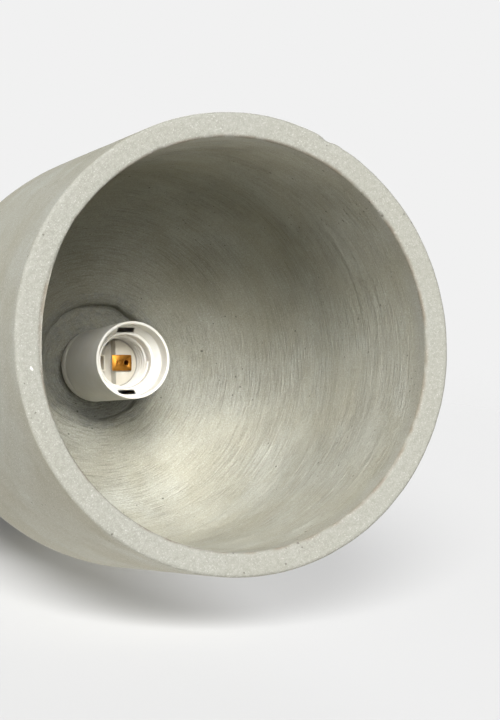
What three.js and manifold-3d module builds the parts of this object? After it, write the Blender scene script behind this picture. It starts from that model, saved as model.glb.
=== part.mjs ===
// Concrete pendant light: a cast bell shade hung by a hollow nipple, with a plastic E27 lampholder inside.
// Millimetres, +Z up. The origin is where the cord enters the cord grip at the very top.
import * as THREE from "three";
import { mergeVertices } from "three/addons/utils/BufferGeometryUtils.js";
import Module from "manifold-3d";

const wasm = await Module();
wasm.setup();

// ---- Driving dimensions: the concrete shade ----
const SHADE_HEIGHT = 232; // crown face to mouth
const MOUTH_RADIUS = 106; // outside of the straight lower part
const SHADE_WALL = 11.4; // wall at the mouth
const STRAIGHT_HEIGHT = 130; // outside, from the mouth up to where the dome begins
const CROWN_FLAT_RADIUS = 50; // flat top face
const RIM_ROUND = 1.6; // worn edges of the mouth
const ROOF_THICKNESS = 18; // crown face to the pocket's floor
const CAVITY_STRAIGHT = 118; // inside, from the mouth up to where the dome begins
const CAVITY_FLAT_RADIUS = 44; // flat end of the cavity
const POCKET_RADIUS = 31; // round pocket in the cavity's end
const POCKET_DEPTH = 10;
const POCKET_LIP = 4; // rounded edge between the cavity's end and the pocket

// ---- Driving dimensions: the hanging hardware ----
const NIPPLE_RADIUS = 4.9; // M10x1
const NIPPLE_BORE = 3.9;
const NUT_ACROSS_FLATS = 14;
const NUT_THICKNESS = 4;
const CROWN_WASHER_RADIUS = 17.5;
const CROWN_WASHER_THICKNESS = 2;
const SPRING_WASHER_THICKNESS = 1.6;
const SPRING_WASHER_RADIUS = 8.4;
const GASKET_THICKNESS = 2;
const GASKET_INSET = 1; // the gasket is smaller than its washer
const POCKET_WASHER_RADIUS = 13;
const POCKET_WASHER_THICKNESS = 1.4;
const POCKET_GASKET_THICKNESS = 1;
const GRIP_RADIUS = 6.75;
const GRIP_HEIGHT = 22;
const GRIP_CORD_BORE = 3.6;
const GRIP_THREAD_DEPTH = 11;
const GRIP_SCREW_RADIUS = 2;
const GRIP_SCREW_TRAVEL = 1.4; // two turns of its 0.7 mm pitch
const GRIP_SCREW_LEFT = 0.2; // still standing out of the grip at the end of its travel

// ---- Driving dimensions: the lampholder ----
const SKIRT_MOUTH_RADIUS = 20;
const SKIRT_TOP_RADIUS = 19.4;
const SKIRT_WALL = 1.5;
const CAP_HEIGHT = 8; // visible part above the seam
const CAP_ROUND = 2;
const CAP_WALL = 2.4;
const SPIGOT_LENGTH = 9.2; // cap's threaded collar inside the skirt
const SPIGOT_WALL = 1.7;
const HUB_RADIUS = 9;
const HUB_LENGTH = 8;
const WIRING_SPACE = 4.2; // between the hub's end and the contact block
const SHELF_DEPTH = 9; // skirt's mouth to the sloping shelf
const SHELF_DROP = 3; // how far the shelf slopes in to the liner
const SHELF_THICKNESS = 2;
const LINER_RADIUS = 14.9; // outside of the thread liner
const THREAD_ROOT = 13.5; // E27
const THREAD_HEIGHT = 0.8;
const THREAD_PITCH = 3.63;
const LEAD_IN = 1.6; // bevel from the liner's mouth into its thread
const WINDOW_WIDTH = 9.2; // moulding windows in the shelf
const BLOCK_FACE_DEPTH = 38; // skirt's mouth to the block's lower face
const BLOCK_THICKNESS = 9.4;
const STEP_EDGE = 1; // the raised side of the block begins here
const CONTACT_DEPTH = 29; // skirt's mouth to the centre contact
const STRIP_INSET = 2.4; // from the step's round edge to the strip's fixed corners
const STRIP_WIDTH = 8.4;
const STRIP_THICKNESS = 0.8;
const STRIP_START = -1.4; // free end, just past the axis
const NUB_SPACING = 4.3; // from the rivet towards the axis
const NUB_RADIUS = 1.4;
const RIVET_INSET = 3.2; // from the strip's fixed end
const RIVET_SHANK = 1.15;
const RIVET_HEAD = 1.75;
const RIVET_BORE = 0.75;
const RIVET_HEAD_THICKNESS = 0.5;
const COLLAR_LENGTH = 7.9; // side contact's collar, inwards from the step's radius
const COLLAR_WIDTH = 8.8;
const COLLAR_WALL = 0.9;
const COLLAR_DEPTH = 31; // skirt's mouth to the collar's end
const SIDE_WIDTH = 4.4;
const SIDE_THICKNESS = 0.6;
const SIDE_TIP_DEPTH = 23; // skirt's mouth to the side contact's tip
const SIDE_SEAT_GAP = 0.25; // room for the side contact to tip in its collar
const TERMINAL_SIZE = 6;
const TERMINAL_HEIGHT = 6.4;
const TERMINAL_PLACE = 7.6; // from the axis
const TERMINAL_WIRE_HOLE = 1.4;
const TERMINAL_SCREW_RADIUS = 1.3;
const TERMINAL_SCREW_HEAD = 2.1;
const BLOCK_SCREW_RADIUS = 1.3;
const BLOCK_SCREW_HEAD = 2.1;
const BLOCK_SCREW_SINK = 2; // depth of the recess for its head
const BLOCK_SCREW_PLACE = [-2.6, 11.4];
const LOCK_SCREW_RADIUS = 1.5;
const HOLDER_TURN = Math.PI / 4; // the holder's contacts are turned this far on the nipple

// ---- Named clearances ----
const SEAT_GAP = 0.1; // between pieces pressed face to face
const THREAD_GAP = 0.15; // radial, between a thread and what screws on it
const HOLE_GAP = 0.6; // radial, round the nipple in concrete and washers
const SLIP_GAP = 0.3; // radial, between pieces that slip together
const SEAM_GAP = 0.3; // visible seam between cap and skirt
const FLEX_GAP = 0.8; // room for the centre contact to bend
const ROUND_STEPS = 3; // points on a small round edge
const DOME_STEPS = 10; // points on a dome

// ---- Heights, from the crown face (z = 0), worked out from the sizes above ----
const mouthZ = -SHADE_HEIGHT;
const pocketFloorZ = -ROOF_THICKNESS;
const cavityEndZ = pocketFloorZ - POCKET_DEPTH;
const pocketGasketZ = pocketFloorZ - SEAT_GAP - POCKET_GASKET_THICKNESS;
const pocketWasherZ = pocketGasketZ - SEAT_GAP - POCKET_WASHER_THICKNESS;
const pocketNutZ = pocketWasherZ - SEAT_GAP - NUT_THICKNESS;
const capTopZ = pocketNutZ - SEAM_GAP;
const seamZ = capTopZ - CAP_HEIGHT;
const hubEndZ = capTopZ - CAP_WALL - HUB_LENGTH;
const blockTopZ = hubEndZ - WIRING_SPACE;
const blockFaceZ = blockTopZ - BLOCK_THICKNESS;
const skirtMouthZ = blockFaceZ - BLOCK_FACE_DEPTH;
const crownWasherZ = GASKET_THICKNESS + 2 * SEAT_GAP;
const springWasherZ = crownWasherZ + CROWN_WASHER_THICKNESS + SEAT_GAP;
const crownNutZ = springWasherZ + SPRING_WASHER_THICKNESS + SEAT_GAP;
const gripZ = crownNutZ + NUT_THICKNESS + SEAT_GAP;
const gripTopZ = gripZ + GRIP_HEIGHT;
const gripThreadEndZ = gripZ + GRIP_THREAD_DEPTH;
const nippleTopZ = gripThreadEndZ - 1;
const gripScrewZ = (gripThreadEndZ + gripTopZ) / 2;
const nippleHole = NIPPLE_RADIUS + HOLE_GAP;
const threadHole = NIPPLE_RADIUS + THREAD_GAP;
const stripZ = skirtMouthZ + CONTACT_DEPTH;
const stepZ = stripZ + STRIP_THICKNESS + FLEX_GAP;
const linerEndZ = blockFaceZ - SEAM_GAP;
const spigotRadius = SKIRT_TOP_RADIUS - SKIRT_WALL - SLIP_GAP;
const spigotBore = spigotRadius - SPIGOT_WALL;
const threadCrest = THREAD_ROOT - THREAD_HEIGHT;
const stepRadius = threadCrest - SLIP_GAP;
const stripEnd = Math.sqrt(stepRadius ** 2 - (STRIP_WIDTH / 2) ** 2) - STRIP_INSET;
const rivetX = stripEnd - RIVET_INSET;
const collarInnerX = COLLAR_LENGTH - stepRadius;
const nubX = rivetX - NUB_SPACING;
const terminalZ = blockTopZ - TERMINAL_HEIGHT;
const terminalFloorZ = terminalZ + SEAT_GAP;

// ---- Shape helpers ----
const point = (r, z) => new THREE.Vector2(r, z);

// Points of an elliptical arc round (r, z), with angles in degrees from the +r direction.
function arc(r, z, radiusR, radiusZ, from, to, steps) {
  return Array.from({ length: steps + 1 }, (_, i) => {
    const angle = THREE.MathUtils.degToRad(from + ((to - from) * i) / steps);
    return point(r + radiusR * Math.cos(angle), z + radiusZ * Math.sin(angle));
  });
}

// A profile that runs clockwise, with r to the right and z up, turned about Z.
// One that doesn't touch the axis is closed on itself.
function turned(profile, segments = 40) {
  const onAxis = profile[0].x === 0;
  const line = onAxis ? profile : [...profile, profile[0]];
  return new THREE.LatheGeometry(line.slice().reverse(), segments).rotateX(Math.PI / 2);
}

// A flat ring with square edges.
function ring(inner, outer, low, high, segments = 36) {
  return turned([point(inner, low), point(inner, high), point(outer, high), point(outer, low)], segments);
}

// A round bar along Z.
function bar(radius, low, high, segments = 24) {
  return new THREE.CylinderGeometry(radius, radius, high - low, segments)
    .rotateX(Math.PI / 2)
    .translate(0, 0, (low + high) / 2);
}

function box(lowX, highX, lowY, highY, lowZ, highZ) {
  return new THREE.BoxGeometry(highX - lowX, highY - lowY, highZ - lowZ)
    .translate((lowX + highX) / 2, (lowY + highY) / 2, (lowZ + highZ) / 2);
}

// A hexagonal nut along Z.
function nut(acrossFlats, hole, low, thickness) {
  const corner = acrossFlats / Math.sqrt(3);
  const outline = new THREE.Shape();
  for (let side = 0; side < 6; side++) {
    const angle = (side * Math.PI) / 3;
    outline[side ? "lineTo" : "moveTo"](corner * Math.cos(angle), corner * Math.sin(angle));
  }
  outline.closePath();
  outline.holes.push(new THREE.Path().absarc(0, 0, hole, 0, 2 * Math.PI, true));
  return new THREE.ExtrudeGeometry(outline, { depth: thickness, bevelEnabled: false, curveSegments: 24 })
    .translate(0, 0, low);
}

function solid(geometry) {
  const bare = geometry.clone();
  bare.deleteAttribute("normal");
  bare.deleteAttribute("uv");
  const merged = mergeVertices(bare);
  return new wasm.Manifold(new wasm.Mesh({
    numProp: 3,
    vertProperties: merged.attributes.position.array,
    triVerts: new Uint32Array(merged.index.array),
  }));
}

function fromSolid(body) {
  const mesh = body.getMesh();
  const geometry = new THREE.BufferGeometry();
  geometry.setAttribute("position", new THREE.BufferAttribute(new Float32Array(mesh.vertProperties), 3));
  geometry.setIndex(new THREE.BufferAttribute(new Uint32Array(mesh.triVerts), 1));
  const flat = geometry.toNonIndexed();
  flat.computeVertexNormals();
  return flat;
}

const join = (...pieces) => pieces.map(solid).reduce((whole, piece) => whole.add(piece));
const cut = (body, ...tools) => tools.map(solid).reduce((left, tool) => left.subtract(tool), body);
const within = (geometry, limit) => fromSolid(solid(geometry).intersect(solid(limit)));

// ---- Materials ----
function finish(color, roughness, metalness) {
  return new THREE.MeshStandardMaterial({ color, roughness, metalness });
}
const concrete = () => finish(0xb9bab2, 0.92, 0);
const whitePlastic = () => finish(0xeeede8, 0.35, 0);
const brass = () => finish(0xc8923a, 0.35, 1);
const zincSteel = () => finish(0xb8bcc0, 0.4, 1);
const rubber = () => finish(0x2a2a2a, 0.8, 0);

// ---- Assembly: the group is lowered so that the cord's way in is the origin ----
const pendant = new THREE.Group();
const hanging = new THREE.Group();
hanging.position.z = -gripTopZ;
const holder = new THREE.Group();
holder.rotation.z = HOLDER_TURN;
hanging.add(holder);
pendant.add(hanging);

function piece(name, geometry, material, parent = hanging) {
  const mesh = new THREE.Mesh(geometry, material);
  mesh.name = name;
  parent.add(mesh);
  return mesh;
}

// ---- Concrete shade ----
function shadeGeometry() {
  const innerRadius = MOUTH_RADIUS - SHADE_WALL;
  const outerDome = arc(CROWN_FLAT_RADIUS, mouthZ + STRAIGHT_HEIGHT, MOUTH_RADIUS - CROWN_FLAT_RADIUS,
    SHADE_HEIGHT - STRAIGHT_HEIGHT, 90, 0, DOME_STEPS);
  const rimZ = mouthZ + RIM_ROUND;
  const outerRim = arc(MOUTH_RADIUS - RIM_ROUND, rimZ, RIM_ROUND, RIM_ROUND, 0, -90, ROUND_STEPS);
  const innerRim = arc(innerRadius + RIM_ROUND, rimZ, RIM_ROUND, RIM_ROUND, -90, -180, ROUND_STEPS);
  const innerDome = arc(CAVITY_FLAT_RADIUS, mouthZ + CAVITY_STRAIGHT, innerRadius - CAVITY_FLAT_RADIUS,
    cavityEndZ - mouthZ - CAVITY_STRAIGHT, 0, 90, DOME_STEPS);
  const lip = arc(POCKET_RADIUS + POCKET_LIP, cavityEndZ + POCKET_LIP, POCKET_LIP, POCKET_LIP, -90, -180,
    ROUND_STEPS);
  return turned([
    point(nippleHole, 0),
    ...outerDome,
    ...outerRim,
    ...innerRim,
    ...innerDome,
    ...lip,
    point(POCKET_RADIUS, pocketFloorZ),
    point(nippleHole, pocketFloorZ),
  ], 64);
}
piece("shade", shadeGeometry(), concrete());

// ---- Hardware on the crown ----
function flatRing(name, outer, low, thickness, material) {
  return piece(name, ring(nippleHole, outer, low, low + thickness), material);
}
flatRing("crown_gasket", CROWN_WASHER_RADIUS - GASKET_INSET, SEAT_GAP, GASKET_THICKNESS, rubber());
flatRing("crown_washer", CROWN_WASHER_RADIUS, crownWasherZ, CROWN_WASHER_THICKNESS, zincSteel());

// A split ring: the slit is a straight cut through one side.
function springWasherGeometry() {
  const high = springWasherZ + SPRING_WASHER_THICKNESS;
  const slitHalf = 0.5;
  const whole = solid(ring(threadHole, SPRING_WASHER_RADIUS, springWasherZ, high, 36));
  const slit = box(0, SPRING_WASHER_RADIUS + 1, -slitHalf, slitHalf, springWasherZ - 1, high + 1);
  return fromSolid(cut(whole, slit));
}
piece("crown_spring_washer", springWasherGeometry(), zincSteel());
piece("crown_nut", nut(NUT_ACROSS_FLATS, threadHole, crownNutZ, NUT_THICKNESS), zincSteel());
piece("nipple", ring(NIPPLE_BORE, NIPPLE_RADIUS, hubEndZ, nippleTopZ, 32), zincSteel());

function gripGeometry() {
  const edge = 1;
  const body = solid(turned([
    point(threadHole, gripZ),
    point(threadHole, gripThreadEndZ),
    point(GRIP_CORD_BORE, gripThreadEndZ),
    point(GRIP_CORD_BORE, gripTopZ - edge),
    point(GRIP_CORD_BORE + edge, gripTopZ),
    ...arc(GRIP_RADIUS - edge, gripTopZ - edge, edge, edge, 90, 0, ROUND_STEPS),
    point(GRIP_RADIUS, gripZ),
  ], 32));
  const screwHole = bar(GRIP_SCREW_RADIUS + THREAD_GAP, 0, GRIP_RADIUS + 1)
    .rotateY(Math.PI / 2)
    .translate(0, 0, gripScrewZ);
  return fromSolid(cut(body, screwHole));
}
piece("cord_grip_body", gripGeometry(), zincSteel());

// A slotted grub screw along +X, with its tip at the edge of the cord's bore.
function slottedScrew(radius, tip, end, slotWidth, slotDepth) {
  const shank = solid(bar(radius, tip, end, 20));
  const slot = box(-radius - 1, radius + 1, -slotWidth / 2, slotWidth / 2, end - slotDepth, end + 1);
  return fromSolid(cut(shank, slot));
}
const gripScrewEnd = GRIP_RADIUS + GRIP_SCREW_TRAVEL + GRIP_SCREW_LEFT;
const gripScrew = slottedScrew(GRIP_SCREW_RADIUS, GRIP_CORD_BORE, gripScrewEnd, 0.8, 1);
piece("cord_grip_screw", gripScrew.rotateY(Math.PI / 2).translate(0, 0, gripScrewZ), brass());

// ---- Hardware in the pocket ----
flatRing("pocket_gasket", POCKET_WASHER_RADIUS, pocketGasketZ, POCKET_GASKET_THICKNESS, rubber());
flatRing("pocket_washer", POCKET_WASHER_RADIUS, pocketWasherZ, POCKET_WASHER_THICKNESS, zincSteel());
piece("pocket_nut", nut(NUT_ACROSS_FLATS, threadHole, pocketNutZ, NUT_THICKNESS), zincSteel());

// ---- Lampholder cap: rounded top, threaded collar below the seam, hub for the nipple ----
const lockScrewZ = hubEndZ + 3;
function capGeometry() {
  const ceilingZ = capTopZ - CAP_WALL;
  const body = solid(turned([
    point(threadHole, hubEndZ),
    point(threadHole, capTopZ),
    ...arc(SKIRT_TOP_RADIUS - CAP_ROUND, capTopZ - CAP_ROUND, CAP_ROUND, CAP_ROUND, 90, 0, ROUND_STEPS + 2),
    point(SKIRT_TOP_RADIUS, seamZ),
    point(spigotRadius, seamZ),
    point(spigotRadius, seamZ - SPIGOT_LENGTH),
    point(spigotBore, seamZ - SPIGOT_LENGTH),
    point(spigotBore, ceilingZ),
    point(HUB_RADIUS, ceilingZ),
    point(HUB_RADIUS, hubEndZ),
  ]));
  const bosses = [-1, 1].map((side) => bossAt(side, ceilingZ));
  const lockHole = bar(LOCK_SCREW_RADIUS + THREAD_GAP, -HUB_RADIUS - 1, 0, 16)
    .rotateY(Math.PI / 2)
    .translate(0, 0, lockScrewZ);
  const whole = bosses.reduce((left, boss) => left.add(solid(boss)), body);
  const pilots = [-1, 1].map((side) => blockScrewBar(side, BLOCK_SCREW_RADIUS + THREAD_GAP, blockTopZ - 1,
    ceilingZ - 0.4));
  return fromSolid(cut(whole, lockHole, ...pilots));
}

// The two screws that hold the contact block stand at mirrored places.
function blockScrewBar(side, radius, low, high) {
  return bar(radius, low, high, 16).translate(BLOCK_SCREW_PLACE[0], side * BLOCK_SCREW_PLACE[1], 0);
}
const bossAt = (side, ceilingZ) => blockScrewBar(side, BLOCK_SCREW_RADIUS + 1.4, blockTopZ + SEAT_GAP,
  ceilingZ + 0.5);
piece("holder_cap", capGeometry(), whitePlastic(), holder);
const lockScrew = slottedScrew(LOCK_SCREW_RADIUS, threadHole + SEAT_GAP, HUB_RADIUS + 1, 0.6, 0.8);
piece("cap_lock_screw", lockScrew.rotateY(-Math.PI / 2).translate(0, 0, lockScrewZ), zincSteel(), holder);

// ---- Lampholder skirt: outer shell, sloping shelf and threaded liner in one moulding ----
function skirtGeometry() {
  const innerTop = SKIRT_TOP_RADIUS - SKIRT_WALL;
  const innerMouth = SKIRT_MOUTH_RADIUS - SKIRT_WALL;
  const lip = 0.5;
  const shelfOuterZ = skirtMouthZ + SHELF_DEPTH;
  const shelfInnerZ = shelfOuterZ + SHELF_DROP;
  const threadZ = shelfInnerZ + LEAD_IN;
  const turns = Math.floor((linerEndZ - threadZ) / THREAD_PITCH);
  const thread = [];
  for (let turn = 0; turn < turns; turn++) {
    const z = threadZ + turn * THREAD_PITCH;
    thread.push(point(THREAD_ROOT, z + 0.25 * THREAD_PITCH));
    thread.push(point(threadCrest, z + 0.5 * THREAD_PITCH));
    thread.push(point(threadCrest, z + 0.65 * THREAD_PITCH));
    thread.push(point(THREAD_ROOT, z + 0.9 * THREAD_PITCH));
  }
  const body = solid(turned([
    point(SKIRT_MOUTH_RADIUS, skirtMouthZ + lip),
    point(SKIRT_MOUTH_RADIUS - lip, skirtMouthZ),
    point(innerMouth + lip, skirtMouthZ),
    point(innerMouth, skirtMouthZ + lip),
    point(innerMouth, shelfOuterZ),
    point(LINER_RADIUS + SLIP_GAP, shelfInnerZ),
    point(LINER_RADIUS, shelfInnerZ),
    point(THREAD_ROOT, threadZ),
    ...thread,
    point(THREAD_ROOT, linerEndZ),
    point(LINER_RADIUS, linerEndZ),
    point(LINER_RADIUS, shelfInnerZ + SHELF_THICKNESS),
    point(innerTop, shelfOuterZ + SHELF_THICKNESS),
    point(innerTop, seamZ - SEAM_GAP),
    point(SKIRT_TOP_RADIUS, seamZ - SEAM_GAP),
  ], 48));
  const half = WINDOW_WIDTH / 2;
  const outerY = Math.sqrt(innerTop ** 2 - half ** 2);
  const windowTopZ = shelfInnerZ + SHELF_THICKNESS + 1;
  const windowAt = (low, high) => box(-half, half, low, high, shelfOuterZ - 1, windowTopZ);
  return fromSolid(cut(body, windowAt(LINER_RADIUS, outerY), windowAt(-outerY, -LINER_RADIUS)));
}
piece("holder_skirt", skirtGeometry(), whitePlastic(), holder);

// ---- Contact block: a disc, with a raised half for one contact and a collar for the other ----
const sideX = -stepRadius + 1.4; // side contact's inner face
const sideFootEnd = collarInnerX - COLLAR_WALL - SLIP_GAP;
const sideRivetX = (sideX + sideFootEnd) / 2;
const terminalHalf = TERMINAL_SIZE / 2;
function blockGeometry() {
  const collarHalf = COLLAR_WIDTH / 2;
  const collarZ = skirtMouthZ + COLLAR_DEPTH;
  const core = bar(stepRadius, collarZ - 1, blockTopZ, 48);
  const past = stepRadius + 1;
  const halfRound = box(STEP_EDGE, past, -past, past, stepZ, blockFaceZ + 1);
  const collarBox = box(-past, collarInnerX, -collarHalf, collarHalf, collarZ, blockFaceZ + 1);
  const slotHalf = collarHalf - COLLAR_WALL;
  const slotEdge = collarInnerX - COLLAR_WALL;
  const collarSlot = box(-past, slotEdge, -slotHalf, slotHalf, collarZ - 1, blockFaceZ);
  const disc = bar(spigotBore - SLIP_GAP, blockFaceZ, blockTopZ, 48);
  const pocketHalf = terminalHalf + SLIP_GAP;
  const terminalPocket = (x) => box(x - pocketHalf, x + pocketHalf, -pocketHalf, pocketHalf,
    terminalZ - SEAT_GAP, blockTopZ + 1);
  const rivetHole = (x) => bar(RIVET_SHANK + SLIP_GAP, collarZ - 2, terminalZ, 16).translate(x, 0, 0);
  const screwHole = BLOCK_SCREW_RADIUS + SLIP_GAP;
  const headHole = BLOCK_SCREW_HEAD + SLIP_GAP;
  const screwHoles = [-1, 1].flatMap((side) => [
    blockScrewBar(side, screwHole, blockFaceZ - 1, blockTopZ + 1),
    blockScrewBar(side, headHole, blockFaceZ - 1, blockFaceZ + BLOCK_SCREW_SINK),
  ]);
  const rivetHoles = [rivetHole(rivetX), rivetHole(sideRivetX)];
  const pockets = [collarSlot, terminalPocket(TERMINAL_PLACE), terminalPocket(-TERMINAL_PLACE)];
  const body = join(disc, within(halfRound, core), within(collarBox, core));
  return fromSolid(cut(body, ...pockets, ...rivetHoles, ...screwHoles));
}
piece("contact_block", blockGeometry(), whitePlastic(), holder);

// ---- Brass contacts ----
function centreContactGeometry() {
  const half = STRIP_WIDTH / 2;
  const plate = box(STRIP_START, stripEnd, -half, half, stripZ, stripZ + STRIP_THICKNESS);
  const nub = bar(NUB_RADIUS, stripZ - 0.5, stripZ + STRIP_THICKNESS / 2, 20).translate(nubX, 0, 0);
  const hole = bar(RIVET_SHANK + SLIP_GAP, stripZ - 1, stripZ + 2, 20).translate(rivetX, 0, 0);
  return fromSolid(cut(join(plate, nub), hole));
}
piece("centre_contact", centreContactGeometry(), brass(), holder);

// A tubular rivet along Z whose head is below what it holds.
function rivetGeometry(headZ, endZ) {
  const neckZ = headZ + RIVET_HEAD_THICKNESS;
  return turned([
    point(RIVET_BORE, headZ),
    point(RIVET_BORE, endZ),
    point(RIVET_SHANK, endZ),
    point(RIVET_SHANK, neckZ),
    point(RIVET_HEAD, neckZ),
    point(RIVET_HEAD, headZ),
  ], 20);
}
const centreHeadZ = stripZ - SEAT_GAP - RIVET_HEAD_THICKNESS;
const centreRivet = rivetGeometry(centreHeadZ, terminalZ - SEAT_GAP).translate(rivetX, 0, 0);
piece("centre_contact_rivet", centreRivet, brass(), holder);

function sideContactGeometry() {
  const half = SIDE_WIDTH / 2;
  const footZ = blockFaceZ - SIDE_SEAT_GAP - SIDE_THICKNESS;
  const foot = box(sideX - SIDE_THICKNESS, sideFootEnd, -half, half, footZ, footZ + SIDE_THICKNESS);
  const arm = box(sideX - SIDE_THICKNESS, sideX, -half, half, skirtMouthZ + SIDE_TIP_DEPTH,
    footZ + SIDE_THICKNESS / 2);
  const hole = bar(RIVET_SHANK + SLIP_GAP, footZ - 1, footZ + 2, 20).translate(sideRivetX, 0, 0);
  return fromSolid(cut(join(foot, arm), hole));
}
piece("side_contact", sideContactGeometry(), brass(), holder);
const sideHeadZ = blockFaceZ - SIDE_SEAT_GAP - SIDE_THICKNESS - SEAT_GAP - RIVET_HEAD_THICKNESS;
const sideRivet = rivetGeometry(sideHeadZ, terminalZ - SEAT_GAP).translate(sideRivetX, 0, 0);
piece("side_contact_rivet", sideRivet, brass(), holder);

// ---- Terminals in the block's upper side: a brass cube with a wire hole and a clamping screw ----
function terminalGeometry() {
  const high = terminalFloorZ + TERMINAL_HEIGHT - SEAT_GAP;
  const cube = box(-terminalHalf, terminalHalf, -terminalHalf, terminalHalf, terminalFloorZ, high);
  const wireHole = bar(TERMINAL_WIRE_HOLE, -terminalHalf - 1, terminalHalf + 1, 16)
    .rotateX(Math.PI / 2)
    .translate(0, 0, terminalFloorZ + 2.2);
  const screwHole = bar(TERMINAL_SCREW_RADIUS + THREAD_GAP, terminalFloorZ + 2.2, high + 1, 16);
  return fromSolid(cut(solid(cube), wireHole, screwHole));
}
function terminalScrewGeometry() {
  const headZ = terminalFloorZ + TERMINAL_HEIGHT;
  const shank = bar(TERMINAL_SCREW_RADIUS, terminalFloorZ + 3.2, headZ + 0.5, 16);
  const head = bar(TERMINAL_SCREW_HEAD, headZ, headZ + 1.4, 20);
  const slot = box(-3, 3, -0.35, 0.35, headZ + 0.8, headZ + 2);
  return fromSolid(cut(join(shank, head), slot));
}
for (const [name, x] of [["live_terminal", TERMINAL_PLACE], ["neutral_terminal", -TERMINAL_PLACE]]) {
  piece(name, terminalGeometry().translate(x, 0, 0), brass(), holder);
  piece(`${name}_screw`, terminalScrewGeometry().translate(x, 0, 0), zincSteel(), holder);
}

// ---- Screws that hold the block to the cap ----
function blockScrewGeometry(side) {
  const headLow = blockFaceZ + 0.4;
  const slotHalf = 0.3;
  const slotY = side * BLOCK_SCREW_PLACE[1];
  const head = blockScrewBar(side, BLOCK_SCREW_HEAD, headLow, blockFaceZ + BLOCK_SCREW_SINK - SEAT_GAP);
  const shank = blockScrewBar(side, BLOCK_SCREW_RADIUS, headLow + 0.5, capTopZ - CAP_WALL - 1);
  const slot = box(-3, 3, slotY - slotHalf, slotY + slotHalf, headLow - 1, headLow + 0.6)
    .translate(BLOCK_SCREW_PLACE[0], 0, 0);
  return fromSolid(cut(join(head, shank), slot));
}
piece("block_screw_a", blockScrewGeometry(-1), zincSteel(), holder);
piece("block_screw_b", blockScrewGeometry(1), zincSteel(), holder);

export default pendant;
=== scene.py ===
# Concrete pendant light with a white E27 lampholder, shown lying on a pale table and seen into its mouth.
# Metres, +Z up, in the part's own frame: the origin is the cord's way in at the top, and the mouth faces
# down.
import math

import bpy
from mathutils import Matrix, Vector, noise


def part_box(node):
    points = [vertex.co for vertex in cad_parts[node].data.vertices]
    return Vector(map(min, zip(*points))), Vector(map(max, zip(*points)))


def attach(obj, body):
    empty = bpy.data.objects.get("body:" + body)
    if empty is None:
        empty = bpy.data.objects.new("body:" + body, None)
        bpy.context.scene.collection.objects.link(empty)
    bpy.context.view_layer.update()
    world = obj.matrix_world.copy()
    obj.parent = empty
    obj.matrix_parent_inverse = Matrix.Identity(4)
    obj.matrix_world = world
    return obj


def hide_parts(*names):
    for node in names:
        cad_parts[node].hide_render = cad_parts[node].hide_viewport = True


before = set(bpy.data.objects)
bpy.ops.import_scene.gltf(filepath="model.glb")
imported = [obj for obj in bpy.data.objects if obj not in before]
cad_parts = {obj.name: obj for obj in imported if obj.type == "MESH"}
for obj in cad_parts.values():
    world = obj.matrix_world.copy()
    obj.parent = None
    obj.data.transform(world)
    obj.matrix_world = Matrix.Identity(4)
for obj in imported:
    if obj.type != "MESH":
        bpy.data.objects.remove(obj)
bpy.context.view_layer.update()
MM = 0.001


# ---- Camera ----
# A long lens a metre from the mouth, looking up into it, with the crown leaning away to the left.
# The sight lines below are in the camera's own directions: right, down and forward.
LENS = 115
SHADE_TILT = math.radians(22.6)
SHADE_LEAN = math.radians(172.4)
MOUTH_SEEN_AT = Vector((-4.5, -7.4, 1044.4)) * MM

shade_low, shade_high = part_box("shade")
mouth_z = shade_low.z
crown_z = shade_high.z
mouth_radius = shade_high.x
crown_way = Vector((
    math.sin(SHADE_TILT) * math.cos(SHADE_LEAN),
    math.sin(SHADE_TILT) * math.sin(SHADE_LEAN),
    math.cos(SHADE_TILT),
))
down = Vector((0, 1, 0))
down_way = (down - down.dot(crown_way) * crown_way).normalized()
side_way = down_way.cross(crown_way)
RIGHT_IN_VIEW = Vector((1, 1, 0)).normalized()
DOWN_IN_VIEW = Vector((-1, 1, 0)).normalized()
seen = Matrix((crown_way, down_way, side_way)).transposed()
held = Matrix((Vector((0, 0, 1)), DOWN_IN_VIEW, RIGHT_IN_VIEW)).transposed()
turn = held @ seen.inverted()

camera_data = bpy.data.cameras.new("camera")
camera_data.lens = LENS
camera_data.sensor_width = 36
camera_data.clip_start = 0.05
camera_data.clip_end = 20
camera = bpy.data.objects.new("camera", camera_data)
bpy.context.scene.collection.objects.link(camera)
camera.matrix_world = Matrix.LocRotScale(
    Vector((0, 0, mouth_z)) - turn @ MOUTH_SEEN_AT,
    (turn @ Matrix(((1, 0, 0), (0, -1, 0), (0, 0, -1)))).to_quaternion(),
    None,
)
bpy.context.scene.camera = camera
bpy.context.scene.view_settings.view_transform = "Standard"


# ---- Table and light ----
# The shade lies on the shoulder of its dome, with its mouth lifted a little. The table is seen from its
# upper side only, and fades out, so that it hides nothing in the views from behind.
TABLE_TILT = math.radians(12)
STRAIGHT_HEIGHT = 130 * MM
CROWN_FLAT = 50 * MM
TABLE_HALF = 0.9
TABLE_GAP = 0.2 * MM
FADE_START = 0.45
FADE_END = 0.85
PAPER = "#f1f1f1"
dome_width = mouth_radius - CROWN_FLAT
dome_height = crown_z - mouth_z - STRAIGHT_HEIGHT
rest_angle = math.atan(math.tan(TABLE_TILT) * dome_height / dome_width)
rest_point = DOWN_IN_VIEW * (CROWN_FLAT + dome_width * math.cos(rest_angle))
rest_point.z = mouth_z + STRAIGHT_HEIGHT + dome_height * math.sin(rest_angle)
table_up = -(DOWN_IN_VIEW * math.cos(TABLE_TILT) + Vector((0, 0, math.sin(TABLE_TILT))))

bpy.ops.object.select_all(action="DESELECT")
bpy.ops.mesh.primitive_circle_add(vertices=64, radius=TABLE_HALF, fill_type="NGON")
table = bpy.context.object
table.name = "table"
table.data.transform(
    Matrix.Translation(rest_point - table_up * TABLE_GAP)
    @ table_up.to_track_quat("Z", "Y").to_matrix().to_4x4()
)


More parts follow.
